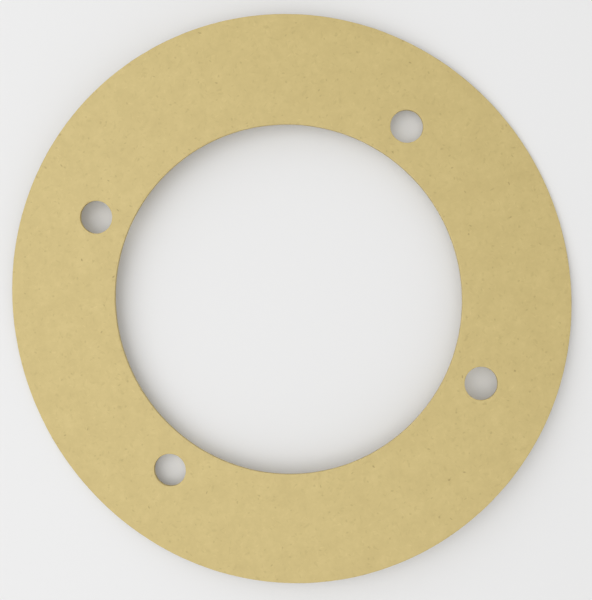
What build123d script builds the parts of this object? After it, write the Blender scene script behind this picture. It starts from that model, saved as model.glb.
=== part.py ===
from build123d import *
from math import cos, radians, sin, sqrt
import os

# Round flange gasket: one ring knife-cut from compressed fibre sheet, with four bolt holes.
# Lying free, the sheet keeps a little of the curl it was stored with. The crest of the curl
# runs slantwise across the bolt rectangle, and the ring rests on the two points of its rim
# that lie furthest from the crest. Bolted between two flanges it is pressed flat.
# +Z is up, X and Y run along the bolt rectangle, and the origin is on the table under the
# middle of the ring.

# the ring, as it is cut from the flat sheet, from the opening out to the rim
opening_diameter = 95.0
inner_land = 5.15  # sheet left between the opening and each bolt hole
bolt_hole_diameter = 9.0  # clears M8
outer_land = 15.85  # sheet left between each bolt hole and the rim
sheet_thickness = 1.0

# the four holes are at the corners of a rectangle, not at even angles round their circle
bolt_angle = 39.35  # from X to the first hole

# the curl: radius of the sheet's middle layer, and the way it curves, turned from X
curl_radius = 420.0
curl_heading = 12.0

bolt_circle_diameter = opening_diameter + 2 * inner_land + bolt_hole_diameter
outside_diameter = bolt_circle_diameter + bolt_hole_diameter + 2 * outer_land
bolt_spacing_long = bolt_circle_diameter * cos(radians(bolt_angle))
bolt_spacing_short = bolt_circle_diameter * sin(radians(bolt_angle))


def drawn_in(radius):
    """Half-width in plan, across the crest, of a circle cut flat and then curled."""
    return curl_radius * sin(radius / curl_radius)


# the curl's axis lies this far below the table, so that the rim touches down at Z = 0
underside_radius = curl_radius - sheet_thickness / 2
upper_radius = curl_radius + sheet_thickness / 2
axis_depth = sqrt(underside_radius**2 - drawn_in(outside_diameter / 2) ** 2)
crest_height = upper_radius - axis_depth

across_the_crest = Vector(1, 0, 0).rotate(Axis.Z, curl_heading)
along_the_crest = Vector(0, 1, 0).rotate(Axis.Z, curl_heading)
curl_section = Plane(
    origin=(0, 0, -axis_depth), x_dir=across_the_crest, z_dir=along_the_crest
)

with BuildPart() as gasket:
    # the curled sheet is part of the wall of a very wide, thin tube
    with BuildSketch(curl_section):
        Circle(upper_radius)
        Circle(underside_radius, mode=Mode.SUBTRACT)
    extrude(amount=outside_diameter, both=True)

    # the cut outline seen from above: curling narrows both circles across the crest
    with BuildSketch(Plane.XY.offset(-sheet_thickness)):
        for diameter, cut in (
            (outside_diameter, Mode.ADD),
            (opening_diameter, Mode.SUBTRACT),
        ):
            Ellipse(
                drawn_in(diameter / 2), diameter / 2, rotation=curl_heading, mode=cut
            )
        with GridLocations(bolt_spacing_long, bolt_spacing_short, 2, 2):
            Circle(bolt_hole_diameter / 2, mode=Mode.SUBTRACT)
    extrude(amount=crest_height + 2 * sheet_thickness, mode=Mode.INTERSECT)

gasket.part.label = "gasket"
os.makedirs("parts", exist_ok=True)
export_step(gasket.part, "parts/gasket.step")
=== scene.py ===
import math

import bpy
import numpy as np
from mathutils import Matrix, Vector, noise
from mathutils.geometry import delaunay_2d_cdt


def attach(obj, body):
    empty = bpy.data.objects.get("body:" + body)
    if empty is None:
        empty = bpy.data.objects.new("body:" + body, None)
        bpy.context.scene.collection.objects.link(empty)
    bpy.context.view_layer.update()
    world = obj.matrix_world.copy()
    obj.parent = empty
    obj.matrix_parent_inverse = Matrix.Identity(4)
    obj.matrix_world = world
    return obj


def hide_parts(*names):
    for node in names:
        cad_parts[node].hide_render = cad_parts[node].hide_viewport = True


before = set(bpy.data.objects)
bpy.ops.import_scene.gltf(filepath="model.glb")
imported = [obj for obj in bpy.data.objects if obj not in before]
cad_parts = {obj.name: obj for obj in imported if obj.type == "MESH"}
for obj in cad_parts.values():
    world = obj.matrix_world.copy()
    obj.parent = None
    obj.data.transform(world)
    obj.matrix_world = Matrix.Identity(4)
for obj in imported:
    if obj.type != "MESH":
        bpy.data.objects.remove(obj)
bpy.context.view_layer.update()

# THE GASKET
# A round flange gasket: one ring of compressed plant-fibre sheet, 1 mm thick. A knife cuts the
# rim, the opening and the four bolt holes out of the flat sheet, and the ring then keeps a
# little of the curl that the sheet was stored with, so it rests on two points of its rim.
# Its sizes are in millimetres until the mesh is made.

MM = 0.001

rim_radius = 77.5
opening_radius = 47.5
bolt_hole_radius = 4.5
bolt_circle_radius = 57.15
bolt_angle = math.radians(39.35)
half_thickness = 0.5

# the curl: a very wide tube, whose wall the sheet is part of
curl_radius = 420.0
curl_heading = math.radians(12)
underside_radius = curl_radius - half_thickness
rim_across = curl_radius * math.sin(rim_radius / curl_radius)
axis_depth = math.sqrt(underside_radius**2 - rim_across**2)
across = np.array([math.cos(curl_heading), math.sin(curl_heading)])
along = np.array([-math.sin(curl_heading), math.cos(curl_heading)])

# the cockle of a stored sheet: how high it stands and how wide its waves are
cockle_height = 0.1
cockle_width = 34.0

# the cut edge from the upper face down: how far it stands back from the cut line, its height,
# and how far it shows the inside of the sheet. The knife rolls the upper edge over by a little
# and pushes the lower one out.
edge_roll = 0.18
cut_profile = (
    (edge_roll, half_thickness, 0.0),
    (0.09, 0.485, 0.0),
    (0.03, 0.44, 0.4),
    (0.0, 0.36, 0.8),
    (0.0, 0.2, 1.0),
    (0.0, 0.03, 1.0),
    (0.0, -0.14, 1.0),
    (0.0, -0.31, 1.0),
    (-0.01, -0.44, 1.0),
    (0.02, -half_thickness, 0.6),
)

# how far the knife wavers along the cut, and how far the fibres fray it below the roll, each
# with the length along the cut over which it changes
waver = 0.03
waver_length = 6.0
fray = 0.035
fray_length = 0.9


def flat_centre(x, y):
    """Where a bolt hole's centre lies in the flat sheet, from its place in plan once curled."""
    reach = curl_radius * math.asin(np.dot((x, y), across) / curl_radius)
    return reach * across + np.dot((x, y), along) * along


# each cut: its centre, its radius, which way the sheet lies from it, and its points
bolt_x = bolt_circle_radius * math.cos(bolt_angle)
bolt_y = bolt_circle_radius * math.sin(bolt_angle)
cuts = [(np.zeros(2), rim_radius, -1, 900), (np.zeros(2), opening_radius, 1, 560)]
for x, y in ((bolt_x, bolt_y), (-bolt_x, bolt_y), (-bolt_x, -bolt_y), (bolt_x, -bolt_y)):
    cuts.append((flat_centre(x, y), bolt_hole_radius, 1, 72))


def cut_ring(centre, radius, outward, count, back, height):
    """One line of points round a cut, a little uneven, as a knife leaves it in fibre."""
    points = []
    for turn in np.arange(count) / count * 2 * math.pi:
        way = np.array([math.cos(turn), math.sin(turn)])
        at = centre + radius * way
        slow = Vector((at[0] / waver_length, at[1] / waver_length, 4.0))
        quick = Vector((at[0] / fray_length, at[1] / fray_length, height * 5))
        uneven = waver * noise.noise(slow)
        if back < edge_roll:
            uneven += fray * noise.noise(quick)
        points.append(centre + (radius + outward * (back + uneven)) * way)
    return points


def curled(points, heights):
    """Points of the flat sheet put in place on the curl, with the sheet's slight cockle."""
    placed = []
    for point, height in zip(points, heights):
        reach = np.dot(point, across)
        wave = noise.noise(Vector((point[0] / cockle_width, point[1] / cockle_width, 9.0)))
        free = max(0.0, 1 - (reach / rim_radius) ** 2)
        radius = curl_radius + height + cockle_height * wave * free
        plan = radius * math.sin(reach / curl_radius) * across + np.dot(point, along) * along
        placed.append((*plan, radius * math.cos(reach / curl_radius) - axis_depth))
    return placed


# the two faces share one net of triangles, about 1 mm each, with the cuts as its edges
net_step = 1.0
net_row = 0.866 * net_step
net_clear = edge_roll + 0.6 * net_step
net_points = []
net_edges = []
net_starts = []
for centre, radius, outward, count in cuts:
    start = len(net_points)
    net_starts.append(start)
    net_points += cut_ring(centre, radius, outward, count, *cut_profile[0][:2])
    net_edges += [(start + i, start + (i + 1) % count) for i in range(count)]
rows = math.ceil(rim_radius / net_row)
columns = math.ceil(rim_radius / net_step) + 2
for row in range(-rows, rows + 1):
    for column in range(-columns, columns + 1):
        point = np.array([(column + 0.5 * (row % 2)) * net_step, row * net_row])
        if all(
            outward * (np.linalg.norm(point - centre) - radius) > net_clear
            for centre, radius, outward, count in cuts
        ):
            net_points.append(point)
net = delaunay_2d_cdt([Vector(p) for p in net_points], net_edges, [], 0, 1e-7)



def on_sheet(point):
    """Whether a point of the net is on the sheet's side of the net's edge at every cut."""
    for start, (centre, radius, outward, count) in zip(net_starts, cuts):
        turn = math.atan2(point[1] - centre[1], point[0] - centre[0]) % (2 * math.pi)
        i = int(turn / (2 * math.pi) * count) % count
        first = net_points[start + i]
        edge = net_points[start + (i + 1) % count] - first
        away = point - first
        if outward * (edge[0] * away[1] - edge[1] * away[0]) >= 0:
            return False
    return True


# the net also fills the opening, the holes and the hollows of the rim: those triangles go
triangles = []
for triangle in net[2]:
    if on_sheet(sum((np.array(net[0][i]) for i in triangle), np.zeros(2)) / 3):
        triangles.append(tuple(triangle))

# the upper face, then the same net as the underside, whose edges follow the lower cut line
upper_flat = [np.array(p) for p in net[0]]
lower_flat = list(upper_flat)
for start, (centre, radius, outward, count) in zip(net_starts, cuts):
    lower_flat[start : start + count] = cut_ring(
        centre, radius, outward, count, *cut_profile[-1][:2]
    )
flat = upper_flat + lower_flat
levels = [half_thickness] * len(upper_flat) + [-half_thickness] * len(lower_flat)
cut_share = [0.0] * len(flat)
faces = list(triangles)
faces += [tuple(len(upper_flat) + i for i in reversed(triangle)) for triangle in triangles]

# the cut walls join them, ring by ring down the profile
for start, (centre, radius, outward, count) in zip(net_starts, cuts):
    above = list(range(start, start + count))
    lowest = [len(upper_flat) + i for i in above]
    for i in lowest:
        cut_share[i] = cut_profile[-1][2]
    for back, height, share in cut_profile[1:]:
        if height == -half_thickness:
            ring = lowest
        else:
            ring = list(range(len(flat), len(flat) + count))
            flat += cut_ring(centre, radius, outward, count, back, height)
            levels += [height] * count
            cut_share += [share] * count
        for i in range(count):
            j = (i + 1) % count
            face = (above[i], above[j], ring[j], ring[i])
            faces.append(face if outward > 0 else face[::-1])
        above = ring

gasket_mesh = bpy.data.meshes.new("gasket_ring")
gasket_mesh.from_pydata([Vector(p) * MM for p in curled(flat, levels)], [], faces)
gasket_mesh.shade_smooth()
gasket_mesh.set_sharp_from_angle(angle=math.radians(50))
gasket_ring = bpy.data.objects.new("gasket_ring", gasket_mesh)
bpy.context.scene.collection.objects.link(gasket_ring)

# where each point lies in the flat sheet, in millimetres, and how far it is a cut surface
sheet_place = gasket_mesh.attributes.new("sheet_place", "FLOAT_VECTOR", "POINT")
flat_places = [(p[0], p[1], level) for p, level in zip(flat, levels)]
sheet_place.data.foreach_set("vector", np.array(flat_places, np.float32).ravel())
sheet_cut = gasket_mesh.attributes.new("sheet_cut", "FLOAT", "POINT")
sheet_cut.data.foreach_set("value", np.array(cut_share, np.float32))


def linear(colour):
    """A colour written as sRGB hex, as the linear values that a shader takes."""
    values = [int(colour[i : i + 2], 16) / 255 for i in (1, 3, 5)]
    return [v / 12.92 if v <= 0.04045 else ((v + 0.055) / 1.055) ** 2.4 for v in values] + [1.0]


def add(tree, kind, sockets, **settings):
    """Adds a node: its settings, and for each socket a value or the output that feeds it."""
    made = tree.nodes.new("ShaderNode" + kind)
    for name, value in settings.items():
        setattr(made, name, value)
    for name, value in sockets.items():
        if isinstance(value, bpy.types.NodeSocket):
            tree.links.new(value, made.inputs[name])
        else:
            made.inputs[name].default_value = value
    return made


# Compressed fibre sheet: plant fibres, soaked and rolled to a dense, smooth, tan board. The eye
# sees a matt, slightly cloudy surface, with faint fibres lying every way and a few dark shives.
fibre = bpy.data.materials.new("compressed_fibre_sheet")
fibre.use_nodes = True
sheet = fibre.node_tree
sheet.nodes.clear()
place = add(sheet, "Attribute", {}, attribute_name="sheet_place").outputs["Vector"]
cut = add(sheet, "Attribute", {}, attribute_name="sheet_cut").outputs["Fac"]
uncut = add(sheet, "Math", {0: 1.0, 1: cut}, operation="SUBTRACT").outputs[0]


def summed(first, second):
    """Two tones of the sheet, added."""
    return add(sheet, "Math", {0: first, 1: second}, operation="ADD").outputs[0]


def times(first, second):
    """A tone of the sheet, multiplied."""
    return add(sheet, "Math", {0: first, 1: second}, operation="MULTIPLY").outputs[0]


# the sheet's thicker and thinner places: clouds of three widths in mm, and how dark or pale
# each of them gets. The tone of the sheet is 0 for its own colour and below 0 for darker.
tone = 0.0
for width, depth in ((6.0, 0.028), (2.0, 0.027), (0.7, 0.018)):
    cloud = add(sheet, "TexNoise", {"Vector": place, "Scale": 1 / width, "Detail": 1.0})
    level = add(
        sheet,
        "MapRange",
        {
            "Value": cloud.outputs["Fac"],
            "From Min": 0.25,
            "From Max": 0.75,
            "To Min": -depth,
            "To Max": depth,
        },
    ).outputs[0]
    tone = summed(tone, level)

# fibres are never quite straight, so their places are bent by up to half a millimetre
sway = add(sheet, "TexNoise", {"Vector": place, "Scale": 1 / 1.5})
sway = add(
    sheet,
    "VectorMath",
    {0: sway.outputs["Color"], 1: (0.5, 0.5, 0.5)},
    operation="SUBTRACT",
)
sway = add(sheet, "VectorMath", {0: sway.outputs[0], "Scale": 0.9}, operation="SCALE")
bent = add(sheet, "VectorMath", {0: place, 1: sway.outputs[0]}, operation="ADD").outputs[0]


def strand(away, turn, long, wide, body):
    """A fibre that lies at a turn: 1 on its body, a share of its size, and 0 past its ends."""
    turned = add(
        sheet,
        "VectorRotate",
        {"Vector": away, "Angle": turn},
        rotation_type="Z_AXIS",
    ).outputs[0]
    shaped = add(
        sheet,
        "VectorMath",
        {0: turned, 1: (2 / long, 2 / wide, 0.0)},
        operation="MULTIPLY",
    ).outputs[0]
    far = add(sheet, "VectorMath", {0: shaped}, operation="LENGTH").outputs["Value"]
    return add(
        sheet,
        "MapRange",
        {"Value": far, "From Min": 1.0, "From Max": body},
        interpolation_type="SMOOTHSTEP",
    ).outputs[0]


# the fibres that show: the spacing between them, their length and width in mm, the share of
# places that have one, and how much they lighten or darken the sheet. The last are the shives,
# bits of bark left in the pulp.
relief = 0.0
for number, (spacing, long, wide, share, depth) in enumerate(
    (
        (1.9, 1.2, 0.44, 0.55, -0.08),
        (2.3, 1.9, 0.34, 0.5, -0.075),
        (2.1, 1.5, 0.36, 0.55, 0.055),
        (2.9, 0.9, 0.6, 0.5, -0.16),
        (3.7, 1.9, 0.9, 0.5, -0.08),
        (8.0, 1.1, 0.5, 0.5, -0.32),
    )
):
    # each kind lies on its own part of the pattern, so that no two kinds fall together
    shifted = add(
        sheet,
        "VectorMath",
        {0: bent, 1: (31.0 * number, 17.0 * number, 0.0)},
        operation="ADD",
    ).outputs[0]
    spot = add(
        sheet,
        "TexVoronoi",
        {"Vector": shifted, "Scale": 1 / spacing},
        voronoi_dimensions="2D",
    )
    away = add(
        sheet,
        "VectorMath",
        {0: shifted, 1: spot.outputs["Position"]},
        operation="SUBTRACT",
    ).outputs[0]
    chance = add(sheet, "SeparateColor", {0: spot.outputs["Color"]}).outputs
    there = add(sheet, "Math", {0: chance[1], 1: share}, operation="LESS_THAN").outputs[0]
    fibres = strand(away, times(chance[0], 2 * math.pi), long, wide, 0.45)
    fibres = times(times(fibres, there), chance[2])
    tone = summed(tone, times(fibres, depth))
    relief = summed(relief, fibres)

# the darkest shives: place on the flat sheet, turn, length and width in mm, and darkness
for x, y, turn, long, wide, depth in (
    (-51.6, 26.1, 1.4, 1.2, 0.7, -0.36),
    (54.0, -35.5, 1.7, 1.0, 0.6, -0.28),
    (52.4, 3.5, 0.3, 0.9, 0.6, -0.26),
    (-44.2, 19.3, 2.7, 1.1, 0.6, -0.35),
):
    away = add(sheet, "VectorMath", {0: bent, 1: (x, y, 0.0)}, operation="SUBTRACT").outputs[0]
    tone = summed(tone, times(strand(away, turn, long, wide, 0.4), depth))

# the cut surface shows the sheet's layers, each about 0.15 mm thick, and is a little darker
layered = add(
    sheet,
    "VectorMath",
    {0: place, 1: (0.7, 0.7, 6.5)},
    operation="MULTIPLY",
).outputs[0]
layers = add(sheet, "TexNoise", {"Vector": layered, "Scale": 1.0, "Detail": 2.0}).outputs["Fac"]
cut_tone = add(
    sheet,
    "MapRange",
    {"Value": layers, "From Min": 0.3, "From Max": 0.7, "To Min": -0.26, "To Max": -0.02},
).outputs[0]
tone = summed(times(tone, uncut), times(cut_tone, cut))

# from the palest tone to the darkest; the sheet's own colour is a quarter of the way
palest = 0.25
darkest = -0.75
darkness = add(
    sheet,
    "MapRange",
    {"Value": tone, "From Min": palest, "From Max": darkest},
).outputs[0]
colour = add(sheet, "ValToRGB", {"Fac": darkness})
colours = colour.color_ramp.elements
colours[0].position = 0.0
colours[0].color = linear("#DCC88A")
colours[1].position = 1.0
colours[1].color = linear("#6E5208")
own = colours.new(palest / (palest - darkest))
own.color = linear("#C5B174")

# the tooth of the surface, about 0.3 mm between its highs, and the fibres that stand in it
tooth = add(sheet, "TexNoise", {"Vector": place, "Scale": 1 / 0.3, "Detail": 2.0})
relief = summed(tooth.outputs["Fac"], times(relief, 0.5))
bump = add(sheet, "Bump", {"Strength": 0.35, "Distance": 0.03 * MM, "Height": relief})
paper = add(
    sheet,
    "BsdfPrincipled",
    {
        "Base Color": colour.outputs["Color"],
        "Roughness": 0.5,
        "IOR": 1.5,
        "Normal": bump.outputs["Normal"],
    },
)
add(sheet, "OutputMaterial", {"Surface": paper.outputs["BSDF"]})
gasket_mesh.materials.append(fibre)

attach(gasket_ring, "root")
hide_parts("gasket")

# THE TABLE
# A plain, pale, matt board that the gasket lies on. It carries the shadow, and some way out it
# fades into the pale backdrop, like a long sweep of card.

half_board = 2.5
table_mesh = bpy.data.meshes.new("table")
table_mesh.from_pydata(
    [
        (-half_board, -half_board, 0),
        (half_board, -half_board, 0),
        (half_board, half_board, 0),
        (-half_board, half_board, 0),
    ],
    [],
    [(0, 1, 2, 3)],
)
table = bpy.data.objects.new("table", table_mesh)
bpy.context.scene.collection.objects.link(table)


def looked_at(tree):
    """1 where a ray from the camera meets it, straight, in a reflection or through glass."""
    path = add(tree, "LightPath", {}).outputs
    shown = path["Is Camera Ray"]
    for ray in ("Is Glossy Ray", "Is Transmission Ray"):
        shown = add(
            tree,
            "Math",
            {0: shown, 1: path[ray]},
            operation="ADD",
            use_clamp=True,
        ).outputs[0]
    return shown


# Matt white board: the eye sees an even pale grey without any shine. It is shown with a little
# glow, which lightens the shadow on it but adds no light to the gasket.
board = bpy.data.materials.new("matt_white_board")
board.use_nodes = True
card = board.node_tree
card.nodes.clear()
pale = linear("#E7E7E7")
surface = add(
    card,
    "BsdfPrincipled",
    {"Base Color": pale, "Roughness": 1.0, "Specular IOR Level": 0.0},
)
backdrop = add(card, "Emission", {"Color": pale, "Strength": 1.0})
centred = add(card, "TexCoord", {}).outputs["Object"]
distance = add(card, "VectorMath", {0: centred}, operation="LENGTH").outputs["Value"]
fade = add(
    card,
    "MapRange",
    {"Value": distance, "From Min": 0.2, "From Max": 1.1, "To Min": 0.1, "To Max": 1.0},
    interpolation_type="SMOOTHSTEP",
).outputs[0]
glow = add(card, "Math", {0: looked_at(card), 1: fade}, operation="MULTIPLY").outputs[0]
faded = add(card, "MixShader", {0: glow, 1: surface.outputs[0], 2: backdrop.outputs[0]})
add(card, "OutputMaterial", {"Surface": faded.outputs[0]})
table_mesh.materials.append(board)

# THE LIGHT
# A pale room gives most of the light. One softbox stands to the left, a weak one behind on the
# left, and one hangs overhead, each about 1 m wide and 1 m away.

room = bpy.data.worlds.new("pale_room")
bpy.context.scene.world = room
room.use_nodes = True
air = room.node_tree
air.nodes.clear()
white = (1.0, 1.0, 1.0, 1.0)
lit = add(air, "Background", {"Color": white, "Strength": 0.64})
seen = add(air, "Background", {"Color": white, "Strength": 0.8})
either = add(air, "MixShader", {0: looked_at(air), 1: lit.outputs[0], 2: seen.outputs[0]})
add(air, "OutputWorld", {"Surface": either.outputs[0]})

lamp_distance = 1.0
for name, heading, height, size, power in (
    ("softbox_left", math.radians(180), math.radians(58), 1.0, 3.4),
    ("softbox_back", math.radians(134), math.radians(45), 0.9, 0.9),
    ("softbox_top", 0.0, math.radians(90), 0.9, 1.8),
):
    lamp_data = bpy.data.lights.new(name, "AREA")
    lamp_data.shape = "SQUARE"
    lamp_data.size = size
    lamp_data.energy = power
    lamp = bpy.data.objects.new(name, lamp_data)
    bpy.context.scene.collection.objects.link(lamp)
    level_way = math.cos(height)
    way = Vector(
        (math.cos(heading) * level_way, math.sin(heading) * level_way, math.sin(height))
    )
    lamp.location = lamp_distance * way
    lamp.rotation_mode = "QUATERNION"
    lamp.rotation_quaternion = (-way).to_track_quat("-Z", "Y")
    lamp.visible_camera = False

# THE CAMERA
# It looks almost straight down from 0.3 m, turned so that the bolt rectangle stands aslant.

camera_data = bpy.data.cameras.new("camera")
camera_data.lens = 66.89
camera_data.sensor_width = 36.0
camera_data.sensor_fit = "HORIZONTAL"
camera_data.clip_start = 0.01
camera = bpy.data.objects.new("camera", camera_data)
camera.location = (0.019482, -0.001010, 0.305346)
camera.rotation_euler = [math.radians(angle) for angle in (-0.866, 3.172, -16.055)]
bpy.context.scene.collection.objects.link(camera)
bpy.context.scene.camera = camera
bpy.context.scene.view_settings.view_transform = "Standard"
